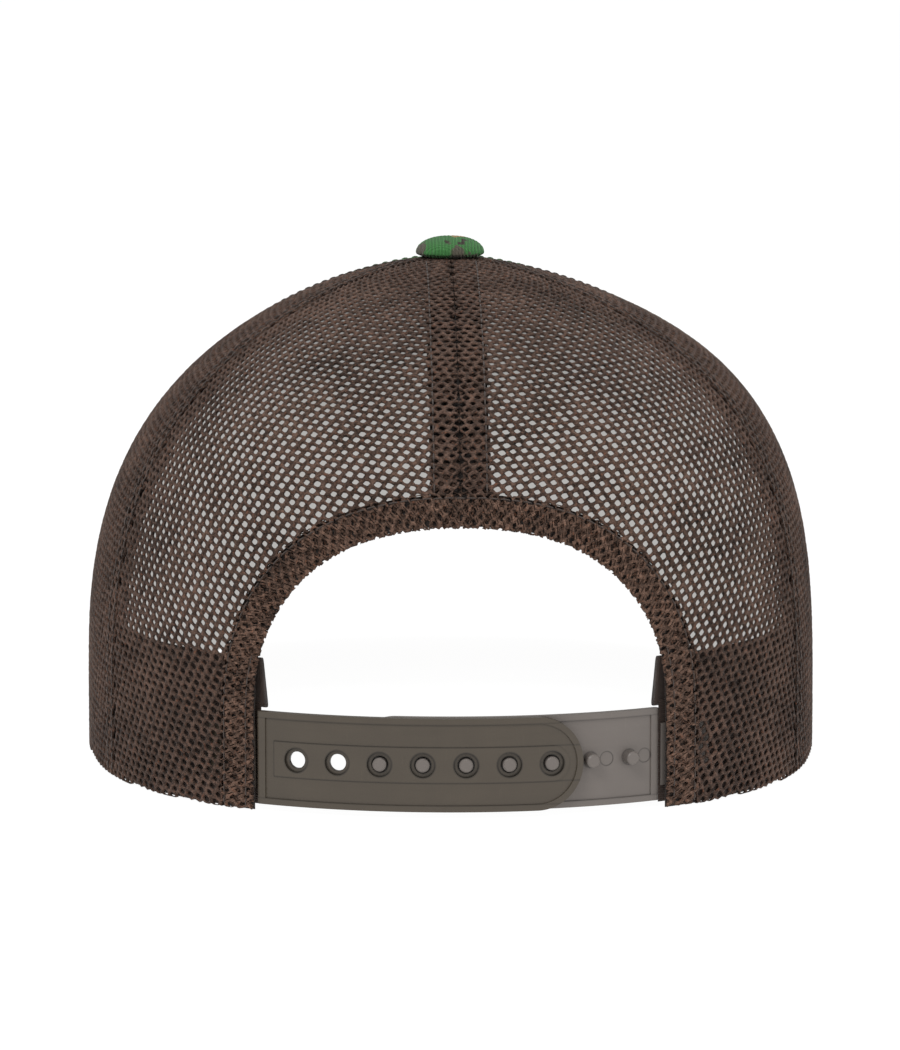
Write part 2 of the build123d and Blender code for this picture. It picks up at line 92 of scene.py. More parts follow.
def upright(azimuth):
    return WALL_POWER + FRONT_WALL_GAIN * (1 - np.cos(azimuth)) / 2


def slump(azimuth, height):
    """How much the soft crown has drawn in from its pattern's shape, more on its left side."""
    left = 0.125 * np.clip((height - 30) / 88, 0, 1) ** 1.8
    right = 0.16 * np.clip((height - 75) / 43, 0, 1) ** 4
    side = np.sin(azimuth)
    weight = np.where(np.cos(azimuth) < 0, 1.0, side * side)
    return 1 - weight * (left * (1 + side) + right * (1 - side)) / 2


def reach_at(azimuth, height):
    share = np.clip(height / CROWN_HEIGHT, 0.0, 0.99999)
    reach = rim_reach(azimuth) * (1 - share ** upright(azimuth)) ** (1 / CROWN_POWER)
    return reach * slump(azimuth, height)


def up_the_wall(azimuth, steps=4000):
    """Reaches and heights from the rim to the top, and the distance run along them."""
    turn = np.linspace(math.pi / 2, 0.0, steps)
    up = CROWN_HEIGHT * np.cos(turn) ** (2 / upright(azimuth))
    out = rim_reach(azimuth) * np.sin(turn) ** (2 / CROWN_POWER) * slump(azimuth, up)
    return out, up, np.concatenate([[0], np.cumsum(np.hypot(np.diff(out), np.diff(up)))])


def on_crown(azimuth, height, inset=0.0):
    """Points of the crown's face moved inwards by an inset."""
    azimuth, height = np.broadcast_arrays(np.asarray(azimuth, float), np.asarray(height, float))

    def place(turn, level):
        out = reach_at(turn, level)
        return np.stack([out * np.sin(turn), out * np.cos(turn), np.asarray(level, float)], -1)

    level = np.minimum(height, CROWN_HEIGHT - 0.03)
    along = place(azimuth + 1e-4, level) - place(azimuth - 1e-4, level)
    up = place(azimuth, level + 0.01) - place(azimuth, level - 0.01)
    normal = np.cross(up, along)
    normal /= np.linalg.norm(normal, axis=-1, keepdims=True) + 1e-12
    return place(azimuth, height) - np.asarray(inset, float)[..., None] * normal


def over_crown(x, y, inset=0.0):
    """Points of the crown's top above places in plan, moved inwards by an inset."""
    azimuth, out = np.arctan2(x, y), np.hypot(x, y)
    height = np.full_like(out, 90.0)
    for _ in range(5):
        share = np.clip(out / slump(azimuth, height) / rim_reach(azimuth), 0, 0.9999)
        height = CROWN_HEIGHT * (1 - share**CROWN_POWER) ** (1 / upright(azimuth))
    return on_crown(azimuth, np.minimum(height, CROWN_HEIGHT - 0.005), inset)


def visor_top(x, y):
    return VISOR_CREST + (y + FRONT_DEPTH) * VISOR_SLOPE - (VISOR_BEND - np.sqrt(VISOR_BEND**2 - x * x))


def rim_height(azimuth):
    """Height of the crown's lower edge."""
    azimuth = np.asarray(azimuth, float)
    x, y = rim_reach(azimuth) * np.sin(azimuth), rim_reach(azimuth) * np.cos(azimuth)
    low = np.zeros_like(y)
    for (y0, z0, m0), (y1, z1, m1) in zip(RIM_CURVE, RIM_CURVE[1:]):
        span = y1 - y0
        s = np.clip((y - y0) / span, 0, 1)
        curve = (2 * s**3 - 3 * s**2 + 1) * z0 + (s**3 - 2 * s**2 + s) * span * m0
        curve += (3 * s**2 - 2 * s**3) * z1 + (s**3 - s**2) * span * m1
        low = np.where(y <= y0, curve, low)
    return np.where(y < RIM_CURVE[-1][0], visor_top(x, y) + 0.3, low)


def run_along(points):
    """Distance run along a line of points."""
    return np.concatenate([[0], np.cumsum(np.linalg.norm(np.diff(points, axis=0), axis=1))])


def azimuth_of(x, height):
    """Azimuth on the rear wall of the place at that x and height."""
    azimuth = np.zeros_like(x)
    for _ in range(6):
        azimuth = np.arcsin(np.clip(x / np.maximum(reach_at(azimuth, height), 1.0), -0.98, 0.98))
    return azimuth


def opening_measure(x, height, grow):
    """Under 1 inside the rear opening's outline, grown by a distance."""
    above = np.maximum(height - OPENING_SIDE_TOP, 0) / (OPENING_RISE + grow)
    return (np.abs(x) / (OPENING_HALF + grow)) ** OPENING_POWER + above**OPENING_POWER


# ---------------------------------------------------------------- mesh writing
def write_mesh(name, points, faces, weave=None, outward=None):
    """A piece from points in millimetres and faces of four corners; weave gives each corner's cloth place."""
    mesh = bpy.data.meshes.new(name)
    points, faces = np.asarray(points, float) * MM, np.asarray(faces, int)
    if outward is not None:
        a, b, c = (points[faces[:, i]] for i in (0, 1, 2))
        side = np.einsum("ij,ij->i", np.cross(b - a, c - a), a - np.asarray(outward) * MM)
        if np.sum(side) < 0:
            faces = faces[:, ::-1]
            weave = None if weave is None else weave[:, ::-1]
    mesh.vertices.add(len(points))
    mesh.vertices.foreach_set("co", points.ravel())
    mesh.loops.add(faces.size)
    mesh.loops.foreach_set("vertex_index", faces.ravel())
    mesh.polygons.add(len(faces))
    mesh.polygons.foreach_set("loop_start", np.arange(0, faces.size, faces.shape[1]))
    mesh.update(calc_edges=True)
    if weave is not None:
        layer = mesh.uv_layers.new(name="Weave")
        layer.data.foreach_set("uv", np.asarray(weave, float).reshape(-1))
    mesh.polygons.foreach_set("use_smooth", [True] * len(mesh.polygons))
    piece = bpy.data.objects.new(name, mesh)
    bpy.context.scene.collection.objects.link(piece)
    return piece


def grid_faces(rows, columns):
    row, column = np.meshgrid(np.arange(rows - 1), np.arange(columns - 1), indexing="ij")
    first = (row * columns + column).ravel()
    return np.stack([first, first + 1, first + columns + 1, first + columns], 1)


def cloth_sheet(name, outer, inner, weave, outward=(0, 0, 40)):
    """A layer of cloth between two grids of points, closed round its edges. weave is each point's cloth place."""
    rows, columns = outer.shape[:2]
    count = rows * columns
    face = grid_faces(rows, columns)
    loop = [*range(columns), *range(2 * columns - 1, count, columns)]
    loop = np.array(loop + [*range(count - 2, count - columns - 1, -1), *range(count - 2 * columns, 0, -columns)])
    ahead = np.roll(loop, -1)
    edge = np.stack([loop, loop + count, ahead + count, ahead], 1)
    points = np.concatenate([outer.reshape(-1, 3), inner.reshape(-1, 3)])
    flat = weave.reshape(-1, 2)
    flat = np.concatenate([flat, flat])
    faces = np.concatenate([face, face[:, ::-1] + count, edge])
    piece = write_mesh(name, points, faces, flat[faces], outward=outward)
    select_only(piece)
    bpy.ops.object.shade_smooth_by_angle(angle=math.radians(40))
    return piece


def deselect():
    bpy.ops.object.select_all(action="DESELECT")


def select_only(piece):
    deselect()
    piece.select_set(True)
    bpy.context.view_layer.objects.active = piece


def finish_piece(piece, material, body="crown", slot=None, replaces=()):
    piece.data.materials.clear()
    piece.data.materials.append(material)
    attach(piece, body)
    if replaces:
        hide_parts(*replaces)
    return piece


# ---------------------------------------------------------------- shader writing
class Field:
    """A value or colour in a material, with the usual sums."""

    def __init__(self, sheet, socket):
        self.sheet, self.socket = sheet, socket

    def _sum(self, how, *others):
        return self.sheet.node("ShaderNodeMath", {"operation": how}, {0: self, **dict(enumerate(others, 1))})

    def __add__(self, other):
        return self._sum("ADD", other)

    def __mul__(self, other):
        return self._sum("MULTIPLY", other)

    def __sub__(self, other):
        return self._sum("SUBTRACT", other)

    def __radd__(self, other):
        return self + other

    def __rmul__(self, other):
        return self * other

    def __rsub__(self, other):
        return self.sheet.node("ShaderNodeMath", {"operation": "SUBTRACT"}, {0: other, 1: self})

    def __truediv__(self, other):
        return self._sum("DIVIDE", other)

    def __pow__(self, other):
        return self._sum("POWER", other)

    def __gt__(self, other):
        return self._sum("GREATER_THAN", other)

    def __lt__(self, other):
        return self._sum("LESS_THAN", other)

    def __abs__(self):
        return self._sum("ABSOLUTE")

    def sin(self):
        return self._sum("SINE")

    def fraction(self):
        return self._sum("FRACT")

    def kept(self):
        return self.sheet.node("ShaderNodeClamp", {}, {0: self})


class Finish:
    """A material being written."""

    def __init__(self, name):
        self.material = bpy.data.materials.new(name)
        self.material.use_nodes = True
        self.tree = self.material.node_tree
        self.shader = self.tree.nodes["Principled BSDF"]

    def node(self, kind, settings=None, values=None, output=0):
        made = self.tree.nodes.new(kind)
        for key, value in (settings or {}).items():
            if key == "stops":
                ramp = made.color_ramp
                while len(ramp.elements) < len(value):
                    ramp.elements.new(0.5)
                for element, (place, colour) in zip(ramp.elements, value):
                    element.position, element.color = place, (*colour, 1)
            else:
                setattr(made, key, value)
        for key, value in (values or {}).items():
            if isinstance(value, Field):
                self.tree.links.new(value.socket, made.inputs[key])
            else:
                made.inputs[key].default_value = value
        return Field(self, made.outputs[output])

    def coordinates(self, kind="Object"):
        if kind == "Weave":
            return self.node("ShaderNodeUVMap", {"uv_map": "Weave"})
        return self.node("ShaderNodeTexCoord", output=kind)

    def stretched(self, place, scale, turn=(0, 0, 0)):
        return self.node("ShaderNodeMapping", {}, {"Vector": place, "Scale": scale, "Rotation": turn})

    def parts(self, place):
        split = self.node("ShaderNodeSeparateXYZ", {}, {0: place})
        node = split.socket.node
        return [Field(self, node.outputs[i]) for i in range(3)]

    def noise(self, place, scale, detail=3.0, rough=0.55):
        values = {"Vector": place, "Scale": scale, "Detail": detail, "Roughness": rough}
        return self.node("ShaderNodeTexNoise", {}, values)

    def cells(self, place, scale):
        return self.node("ShaderNodeTexVoronoi", {}, {"Vector": place, "Scale": scale})

    def ramp(self, value, *stops):
        return self.node("ShaderNodeValToRGB", {"stops": stops}, {0: value})

    def mix(self, share, first, second):
        made = self.node("ShaderNodeMix", {"data_type": "RGBA"}, {})
        node = made.socket.node
        for index, value in ((0, share), (6, first), (7, second)):
            if isinstance(value, Field):
                self.tree.links.new(value.socket, node.inputs[index])
            else:
                node.inputs[index].default_value = (*value, 1) if isinstance(value, tuple) else value
        return Field(self, node.outputs[2])

    def bump(self, height, depth, strength=1.0):
        return self.node("ShaderNodeBump", {}, {"Height": height, "Distance": depth, "Strength": strength})

    def made(self, colour, rough, normal=None, **constants):
        for name, value in {"Base Color": colour, "Roughness": rough, "Normal": normal}.items():
            if isinstance(value, Field):
                self.tree.links.new(value.socket, self.shader.inputs[name])
            elif value is not None:
                self.shader.inputs[name].default_value = (*value, 1) if isinstance(value, tuple) else value
        for name, value in constants.items():
            self.shader.inputs[name.replace("_", " ").title().replace("Ior", "IOR")].default_value = value
        return self.material


def tint(red, green, blue):
    """A colour from its usual 0 to 255 values."""
    return tuple((v / 255 / 12.92) if v <= 10 else ((v / 255 + 0.055) / 1.055) ** 2.4 for v in (red, green, blue))


def toned(colour, share):
    """A colour made darker or lighter."""
    return tuple(min(1, c * share) for c in colour)


def ribs(value, period, sway=None):
    """Waves between 0 and 1 along a cloth place, a period in millimetres apart, pushed about by a sway."""
    phase = value * (2 * math.pi / (period * MM))
    return ((phase if sway is None else phase + sway).sin() + 1) * 0.5


def yarn_finish(name, dark, light, rust):
    """Fuzzy polyester yarn: fine fibres and a few rusty ones, painted darker in the bump's hollows and lighter on its
    raised fibres as painted shade and highlight.
    """
    f = Finish(name)
    place = f.coordinates()
    fibre = f.noise(f.stretched(place, (1.0, 1.0, 2.4), (0.3, 0.5, 0.2)), 2600, 2.5, 0.65)
    loop = f.noise(place, 900, 2.0)
    drift = f.noise(place, 60, 2.0)
    # The colour follows the same noises as the bump: painted shade in its hollows and painted highlight on its raised
    # fibres, over the yarn's own varying tone.
    shade = (fibre * 0.75 + loop * 0.6 + drift * 0.3 - 0.32).kept()
    colour = f.ramp(shade, (0.3, dark), (0.5, tuple(a * 0.66 + b * 0.34 for a, b in zip(dark, light))), (0.72, light))
    rusty = ((f.noise(place, 1500, 1.0) - 0.62) * 8).kept() * 0.4
    colour = f.mix(rusty, colour, rust)
    normal = f.bump(fibre * 0.6 + loop, 0.0003, 1.0)
    return f.made(colour, fibre * 0.2 + 0.55, normal, specular_ior_level=0.1, sheen_weight=0.05, sheen_roughness=0.5)


def twill_finish(name, ground, rib_mm=0.62, angle=0.0, blotches=(), sheen=0.2, groove=0.00012):
    """Woven twill: fine slanted ribs over a ground colour, with printed blotches where given, and painted highlight
    on the ribs and painted shade in their grooves.
    """
    f = Finish(name)
    place, weave = f.coordinates(), f.coordinates("Weave")
    wobble = f.noise(place, 300, 2.0)
    across, along, _ = f.parts(f.stretched(weave, (1, 1, 1), (0, 0, angle)))
    rib = ribs(across, rib_mm, wobble * 1.2)
    pick = ribs(along, rib_mm * 0.6, across * 4000)
    fibre = f.noise(place, 3000, 2.0)
    raised = (rib * 0.5 + fibre * 0.5).kept()
    # Raised ribs get a lighter copy of the ground and the grooves a darker one: painted highlight and painted shade.
    colour = f.mix(raised, toned(ground, 0.62), toned(ground, 1.3))
    for seed, share, scale, paint in blotches:
        moved = f.node("ShaderNodeVectorMath", {"operation": "ADD"}, {0: place, 1: (seed, seed * 0.7, seed * 0.3)})
        shape = f.noise(f.stretched(moved, (1.0, 1.0, 0.75)), scale, 3.0, 0.6)
        mask = ((shape - share) * 60).kept()
        # The printed blotches get the same painted highlight on the ribs and painted shade in the grooves.
        colour = f.mix(mask, colour, f.mix(raised, toned(paint, 0.65), toned(paint, 1.25)))
    normal = f.bump(rib * 0.8 + pick * 0.35 + fibre * 0.2, groove, 0.9)
    return f.made(colour, fibre * 0.15 + 0.68, normal, specular_ior_level=0.2, sheen_weight=sheen)


def buckram_finish():
    """Stiff white lining: an open plain weave set in size."""
    f = Finish("white buckram")
    place, weave = f.coordinates(), f.coordinates("Weave")
    across, along, _ = f.parts(weave)
    warp, weft = ribs(across, 0.75), ribs(along, 0.75)
    grain = f.noise(place, 1500, 2.0)
    colour = f.mix((warp * weft + grain * 0.3).kept(), tint(222, 221, 216), tint(246, 246, 243))
    return f.made(colour, grain * 0.15 + 0.75, f.bump(warp + weft + grain * 0.5, 0.0001, 0.7), sheen_weight=0.1)


def tape_finish(name, dark, light):
    """Herringbone seam tape."""
    f = Finish(name)
    place, weave = f.coordinates(), f.coordinates("Weave")
    across, along, _ = f.parts(weave)
    bones = abs((across / (3.2 * MM)).fraction() - 0.5) * 3.2 * MM
    rib = ribs(along + bones, 0.7)
    fibre = f.noise(place, 2500, 2.0)
    colour = f.mix((rib * 0.6 + fibre * 0.4).kept(), dark, light)
    return f.made(colour, fibre * 0.2 + 0.65, f.bump(rib + fibre * 0.4, 0.00012, 0.8), sheen_weight=0.15)


def near(value, mark, width):
    """1 where a value is at a mark, falling to 0 a width away."""
    return (1 - abs(value - mark) * (1 / width)).kept()


def snap_shade(f, place, first, rings, rail, mould_mark):
    """Painted shade round the snaps, along the rail's edges, along the field's border and round the mould marks a
    distance past each snap: darkening where these recesses and steps fall in shade.
    """
    x, y, z = f.parts(place)
    turn = f.node("ShaderNodeMath", {"operation": "ARCTAN2"}, {0: x, 1: y - STRAP_CENTRE * MM})
    along = ((STRAP_ROOT - turn) * STRAP_RADIUS - first) / SNAP_PITCH
    up = (z - STRAP_MIDDLE * MM) * 1000

    def distance(step, last=None):
        """Distance from the nearest whole step."""
        whole = f.node("ShaderNodeMath", {"operation": "ROUND"}, {0: step})
        if last is not None:
            whole = f.node("ShaderNodeClamp", {}, {0: whole, 1: 0.0, 2: last})
        return ((((step - whole) * SNAP_PITCH) ** 2.0) + abs(up) ** 2.0) ** 0.5

    out = distance(along, SNAP_COUNT - 1.0)
    # Painted shade in the corner where the sunken field meets its rim.
    painted_shade = near(abs(up), 9.1, 0.3) * 0.5
    for mark, width, share in rings:
        painted_shade = painted_shade + near(out, mark, width) * share
    if rail:
        # Painted shade along the raised rail's edges, away from the snaps.
        start = along * SNAP_PITCH + rail
        edge = near(abs(up), RAIL_HALF, 0.28) * (start > -0.1) + near(start, 0.0, 0.28) * (RAIL_HALF > abs(up))
        painted_shade = painted_shade + edge * 0.75 * (out > 2.9)
    if mould_mark:
        # Painted shade at the edges of the mould marks.
        painted_shade = painted_shade + near(distance(along - mould_mark * (1 / SNAP_PITCH)), MARK_RADIUS, 0.22) * 0.8
    return painted_shade.kept()


def plastic_finish(name, base, first, rings, rail=0.0, mould_mark=0.0, flecks=0.06):
    """Moulded plastic with a fine spark-eroded grain, a few scuffs, faint flow lines and painted shade round its
    snaps.
    """
    f = Finish(name)
    place = f.coordinates()
    painted_shade = snap_shade(f, place, first, rings, rail, mould_mark)
    grain = f.noise(place, 4200, 2.0, 0.6)
    cloud = f.noise(place, 120, 2.0)
    flow = f.noise(f.stretched(place, (0.25, 0.25, 3.0)), 260, 2.0)
    scuff = ((f.noise(f.stretched(place, (6.0, 6.0, 0.5), (0, 0.5, 0)), 350, 2.0) - 0.63) * 9).kept()
    shade = (cloud * 0.5 + flow * 0.25 + grain * 0.3).kept()
    colour = f.mix(shade, toned(base, 1 - 2 * flecks), toned(base, 1 + 2.6 * flecks))
    colour = f.mix(scuff * 0.25, colour, toned(base, 1.5))
    # Painted shade: the colour is pulled towards a near-black copy of the base round the snaps, rail and border.
    colour = f.mix(painted_shade * 0.8, colour, toned(base, 0.22))
    rough = grain * 0.16 + cloud * 0.08 + scuff * 0.1 + 0.3
    return f.made(colour, rough, f.bump(grain, 0.00003, 0.6), specular_ior_level=0.45)


def steel_finish():
    f = Finish("plated steel")
    place = f.coordinates()
    lines = f.noise(f.stretched(place, (1, 1, 14)), 500, 3.0)
    spots = f.noise(place, 350, 3.0)
    colour = f.mix((lines * 0.6 + spots * 0.4).kept(), tint(120, 118, 112), tint(196, 194, 188))
    return f.made(colour, lines * 0.2 + spots * 0.15 + 0.2, f.bump(lines, 0.00004, 0.5), metallic=1.0)


def thread_finish(name, dark, light):
    """Twisted sewing thread."""
    f = Finish(name)
    place, weave = f.coordinates(), f.coordinates("Weave")
    across, along, _ = f.parts(weave)
    twist = ribs(along, 0.35, across * 12)
    fibre = f.noise(place, 4000, 2.0)
    colour = f.mix((twist * 0.55 + fibre * 0.45).kept(), dark, light)
    return f.made(colour, fibre * 0.2 + 0.5, f.bump(twist + fibre * 0.4, 0.00008, 0.9), sheen_weight=0.2)


def foam_finish():
    f = Finish("band foam")
    place = f.coordinates()
    pores = f.cells(place, 1400)
    colour = f.mix((pores * 1.4).kept(), tint(150, 146, 132), tint(226, 222, 208))
    return f.made(colour, pores * 0.2 + 0.7, f.bump(pores, 0.0002, 0.8))


def board_finish():
    f = Finish("visor board")
    place = f.coordinates()
    grain = f.noise(place, 1800, 3.0)
    colour = f.mix(grain, tint(205, 204, 198), tint(235, 234, 230))
    return f.made(colour, grain * 0.2 + 0.5, f.bump(grain, 0.00004, 0.5))


BROWN_DARK, BROWN_LIGHT, RUST = tint(16, 11, 8), tint(114, 90, 78), tint(134, 84, 60)
GREEN, DEEP_GREEN, STONE = tint(56, 132, 62), tint(30, 78, 36), tint(86, 82, 70)
TAN, BARK = tint(168, 142, 100), tint(52, 42, 34)
BUTTON_BLOTCHES = [(0.13, 0.565, 120, STONE), (0.5, 0.6, 150, TAN), (0.8, 0.6, 130, BARK)]
CAMO = [(0.11, 0.52, 38, DEEP_GREEN), (0.37, 0.55, 46, STONE), (0.71, 0.6, 55, TAN), (0.93, 0.6, 62, BARK)]

net_yarn = yarn_finish("brown net yarn", BROWN_DARK, BROWN_LIGHT, RUST)
facing_yarn = yarn_finish("brown facing yarn", BROWN_DARK, tint(138, 108, 92), RUST)
camo_twill = twill_finish("blotched twill", GREEN, 0.62, math.radians(32), CAMO)
button_twill = twill_finish("button twill", tint(62, 118, 62), 0.8, 0.0, BUTTON_BLOTCHES, 0.1, 0.0004)
under_twill = twill_finish("brown under twill", tint(66, 49, 40), 0.6, math.radians(30))
band_twill = twill_finish("brown band twill", tint(58, 44, 37), 0.5, math.radians(90))
white_buckram = buckram_finish()
dark_tape = tape_finish("brown herringbone tape", tint(20, 14, 11), tint(48, 36, 30))
HOLE_RINGS, PEG_RINGS = [(2.75, 0.4, 1.0), (1.95, 0.25, 0.8)], [(1.75, 0.3, 0.8)]
holes_plastic = plastic_finish("grey brown plastic", tint(72, 64, 54), 9.0, HOLE_RINGS, 5.5, flecks=0.1)
pegs_plastic = plastic_finish("pale grey brown plastic", tint(106, 99, 94), 28.4, PEG_RINGS, mould_mark=4.0)
plated_steel = steel_finish()
brown_thread = thread_finish("brown thread", tint(24, 17, 13), tint(74, 56, 46))
green_thread = thread_finish("green thread", tint(28, 60, 30), tint(70, 112, 62))
band_foam = foam_finish()
board_sheet = board_finish()


# ---------------------------------------------------------------- net panels
class Gore:
    """Cloth places (across, up) of one panel, and where they lie on the crown."""

    STEP = 0.5

    def __init__(self, azimuth):
        self.azimuth = azimuth
        out, up, run = up_the_wall(azimuth)
        self.length = float(np.interp(-1.6, -out, run))
        self.levels = np.interp(np.arange(0, self.length, self.STEP), run, up)
        self.across = np.arange(-80.0, 80.5, 1.0)
        turns = azimuth + np.radians(np.linspace(-42, 42, 85))
        self.table = np.empty((len(self.levels), len(self.across)))
        for i, level in enumerate(self.levels):
            ring = on_crown(turns, np.full_like(turns, level))
            width = run_along(ring)
            self.table[i] = np.interp(self.across, width - width[len(turns) // 2], turns)

    def look(self, places):
        """Azimuth and height of each cloth place."""
        row = np.clip(places[..., 1] / self.STEP, 0, len(self.levels) - 1.001)
        column = np.clip(places[..., 0] - self.across[0], 0, len(self.across) - 1.001)
        i, j = row.astype(int), column.astype(int)
        s, t = row - i, column - j
        near = self.table[i, j] * (1 - t) + self.table[i, j + 1] * t
        far = self.table[i + 1, j] * (1 - t) + self.table[i + 1, j + 1] * t
        height = self.levels[i] * (1 - s) + self.levels[i + 1] * s
        return near * (1 - s) + far * s, height


def mesh_cell():
    """Corners and edge middles of one knitted cell, and its hole's rounded edge."""
    around = [MESH_ROW, MESH_ROW + MESH_COLUMN, MESH_COLUMN]
    around += [-v for v in around]
    corners = []
    for p, q in zip(around, around[1:] + around[:1]):
        corners.append(np.linalg.solve(2 * np.array([p, q]), [p @ p, q @ q]))
    ring, hole = [], []
    for a, b in zip(corners, corners[1:] + corners[:1]):
        ring += [a, (a + b) / 2]
        hole += [a * HOLE_CORNER, (a + b) / 2 * HOLE_SIDE]
    return np.array(ring), np.array(hole)


def net_piece(name, centres, ring, hole, place, rises=NET_RISES, outward=(0, 0, 40), wild=1.0):
    """Knitted net over the given cell centres. place turns cloth places and insets to points."""
    middle, ridge, lip = rises
    count, size = len(centres), len(ring)
    edge = np.round(centres[:, None] + ring[None], 3)
    keys, inverse = np.unique(edge.reshape(-1, 2), axis=0, return_inverse=True)
    outer = inverse.reshape(count, size)
    growth = 1 + rng.uniform(-0.12, 0.1, (count, 1, 1)) * wild
    shift = rng.uniform(-0.07, 0.07, (count, 1, 2)) * wild
    rim = centres[:, None] + hole[None] * growth * (1 + rng.uniform(-0.07, 0.07, (count, size, 1)) * wild) + shift
    lumps = rng.uniform(-0.06, 0.06, len(keys))
    rim_lumps = rng.uniform(-0.05, 0.05, (count, size))
    points = [
        place(keys, middle - ridge + lumps),
        place(keys, middle + ridge + lumps),
        place(rim, middle - lip + rim_lumps).reshape(-1, 3),
        place(rim, middle + lip + rim_lumps).reshape(-1, 3),
    ]
    a, b = len(keys), 2 * len(keys)
    inner = (np.arange(count * size) + b).reshape(count, size)
    back = inner + count * size

    def ahead(rows):
        return np.roll(rows, -1, axis=1)

    strips = [(outer, inner), (inner, back), (back, outer + a)]
    faces = [np.stack([p, ahead(p), ahead(q), q], -1).reshape(-1, 4) for p, q in strips]
    ends = np.stack([outer, ahead(outer)], -1).reshape(-1, 2)
    _, first, uses = np.unique(np.sort(ends, 1), axis=0, return_index=True, return_counts=True)
    single = ends[first[uses == 1]]
    faces.append(np.stack([single[:, 1], single[:, 0], single[:, 0] + a, single[:, 1] + a], -1))
    return write_mesh(name, np.concatenate(points), np.concatenate(faces), outward=outward)


def lattice(low, high):
    """Cell centres that fill a box of cloth places."""
    centres = []
    for j in range(int(low[1] / MESH_COLUMN[1]) - 12, int(high[1] / MESH_COLUMN[1]) + 14):
        start = (low[0] - j * MESH_COLUMN[0]) / MESH_ROW[0]
        for i in range(math.floor(start), math.ceil(start + (high[0] - low[0]) / MESH_ROW[0]) + 1):
            centres.append(i * MESH_ROW + j * MESH_COLUMN)
    centres = np.array(centres)
    return centres[((centres >= np.array(low)) & (centres <= np.array(high))).all(1)]


def mesh_panel(name, azimuth, side, node):
    """One net panel, trimmed to its seams, the rim and the rear opening."""
    gore = Gore(abs(azimuth))
    ring, hole = mesh_cell()
    half = SEAM_STEP / 2

    def place(places, inset):
        turn, height = gore.look(places)
        slack = 0.05 / np.maximum(reach_at(turn, height), 1.0)
        turn = np.clip(turn, gore.azimuth - half + slack, gore.azimuth + half - slack)
        height = np.maximum(height, rim_height(turn) + 0.05)
        out = reach_at(turn, height)
        x = out * np.sin(turn)
        measure = np.where(np.cos(turn) > 0, opening_measure(x, height, FACING_WIDTH - 0.4), 2.0)
        pushed = measure < 1
        if pushed.any():
            share = np.where(pushed, np.maximum(measure, 1e-3), 1.0) ** (-1 / OPENING_POWER)
            above = np.maximum(height - OPENING_SIDE_TOP, 0)
            arched = pushed & (height > OPENING_SIDE_TOP)
            height = np.where(arched, OPENING_SIDE_TOP + above * share, height)
            turn = np.where(pushed, azimuth_of(x * share, height), turn)
        return on_crown(turn * side, height, inset)

    centres = lattice((-78, -2), (78, gore.length))
    turn, height = gore.look(centres)
    slack = 0.5 / np.maximum(reach_at(turn, height), 1.0)
    reach = reach_at(turn, height)
    keep = (np.abs(turn - gore.azimuth) < half - slack) & (height > rim_height(turn) + 0.3) & (centres[:, 1] > 0)
    keep &= (np.cos(turn) <= 0) | (opening_measure(reach * np.sin(turn), height, FACING_WIDTH - 1.0) > 1)
    keep &= reach > APEX_HOLE + 0.6
    piece = net_piece(name, centres[keep], ring, hole, place)
    finish_piece(piece, net_yarn, slot="mesh", replaces=[node])


def seam_allowance(name, seam, way, width):
    """The net turned back under a seam, on one side of it."""
    ring, hole = mesh_cell()
    out, up, run = up_the_wall(seam)

    def place(places, inset):
        height = np.interp(places[..., 1], run, up)
        across = np.clip(places[..., 0], 0.05, width) * way
        turn = seam + across / np.maximum(reach_at(seam, height), 3.0)
        height = np.maximum(height, rim_height(turn) + 0.3)
        return on_crown(turn, height, inset)

    top = float(np.interp(-9.0, -out, run))
    low = 0.0
    if seam == 0:
        low = float(np.interp(ARCH_TOP, up, run))
    centres = lattice((0.0, low), (width + 0.45, top))
    level = np.interp(centres[:, 1], run, up)
    turn = seam + centres[:, 0] * way / np.maximum(reach_at(seam, level), 3.0)
    centres = centres[level > rim_height(turn) + 0.6]
    piece = net_piece(name, centres, ring, hole, place, ALLOWANCE_RISES, wild=2.0)
    finish_piece(piece, net_yarn, slot="mesh")


# ---------------------------------------------------------------- facing round the rear opening
def opening_path():
    """Places along the opening's edge, from one lower corner over the arch to the other."""
    legs = np.linspace(0, OPENING_SIDE_TOP, 30)
    turn = np.linspace(0, math.pi, 241)[1:-1]
    east = np.abs(np.cos(turn)) ** (2 / OPENING_POWER) * np.sign(np.cos(turn))
    rise = np.sin(turn) ** (2 / OPENING_POWER)
    unit = [(1.0, z, 0.0) for z in legs] + [(e, OPENING_SIDE_TOP, r) for e, r in zip(east, rise)]
    unit += [(-1.0, z, 0.0) for z in legs[::-1]]
    return np.array(unit)


def opening_place(unit, run, along, across, inset):
    """Points of the facing: along its edge, across from it, and inwards."""
    east = np.interp(along, run, unit[:, 0])
    base = np.interp(along, run, unit[:, 1])
    rise = np.interp(along, run, unit[:, 2])
    x = east * (OPENING_HALF + across)
    height = np.maximum(base + rise * (OPENING_RISE + across), 0.05)
    return on_crown(azimuth_of(x, height), height, inset)


def opening_runs(across):
    """The opening's path, and the distance run along it at a distance across from its edge."""
    unit = opening_path()
    x = unit[:, 0] * (OPENING_HALF + across)
    height = unit[:, 1] + unit[:, 2] * (OPENING_RISE + across)
    return unit, run_along(on_crown(azimuth_of(x, height), height))


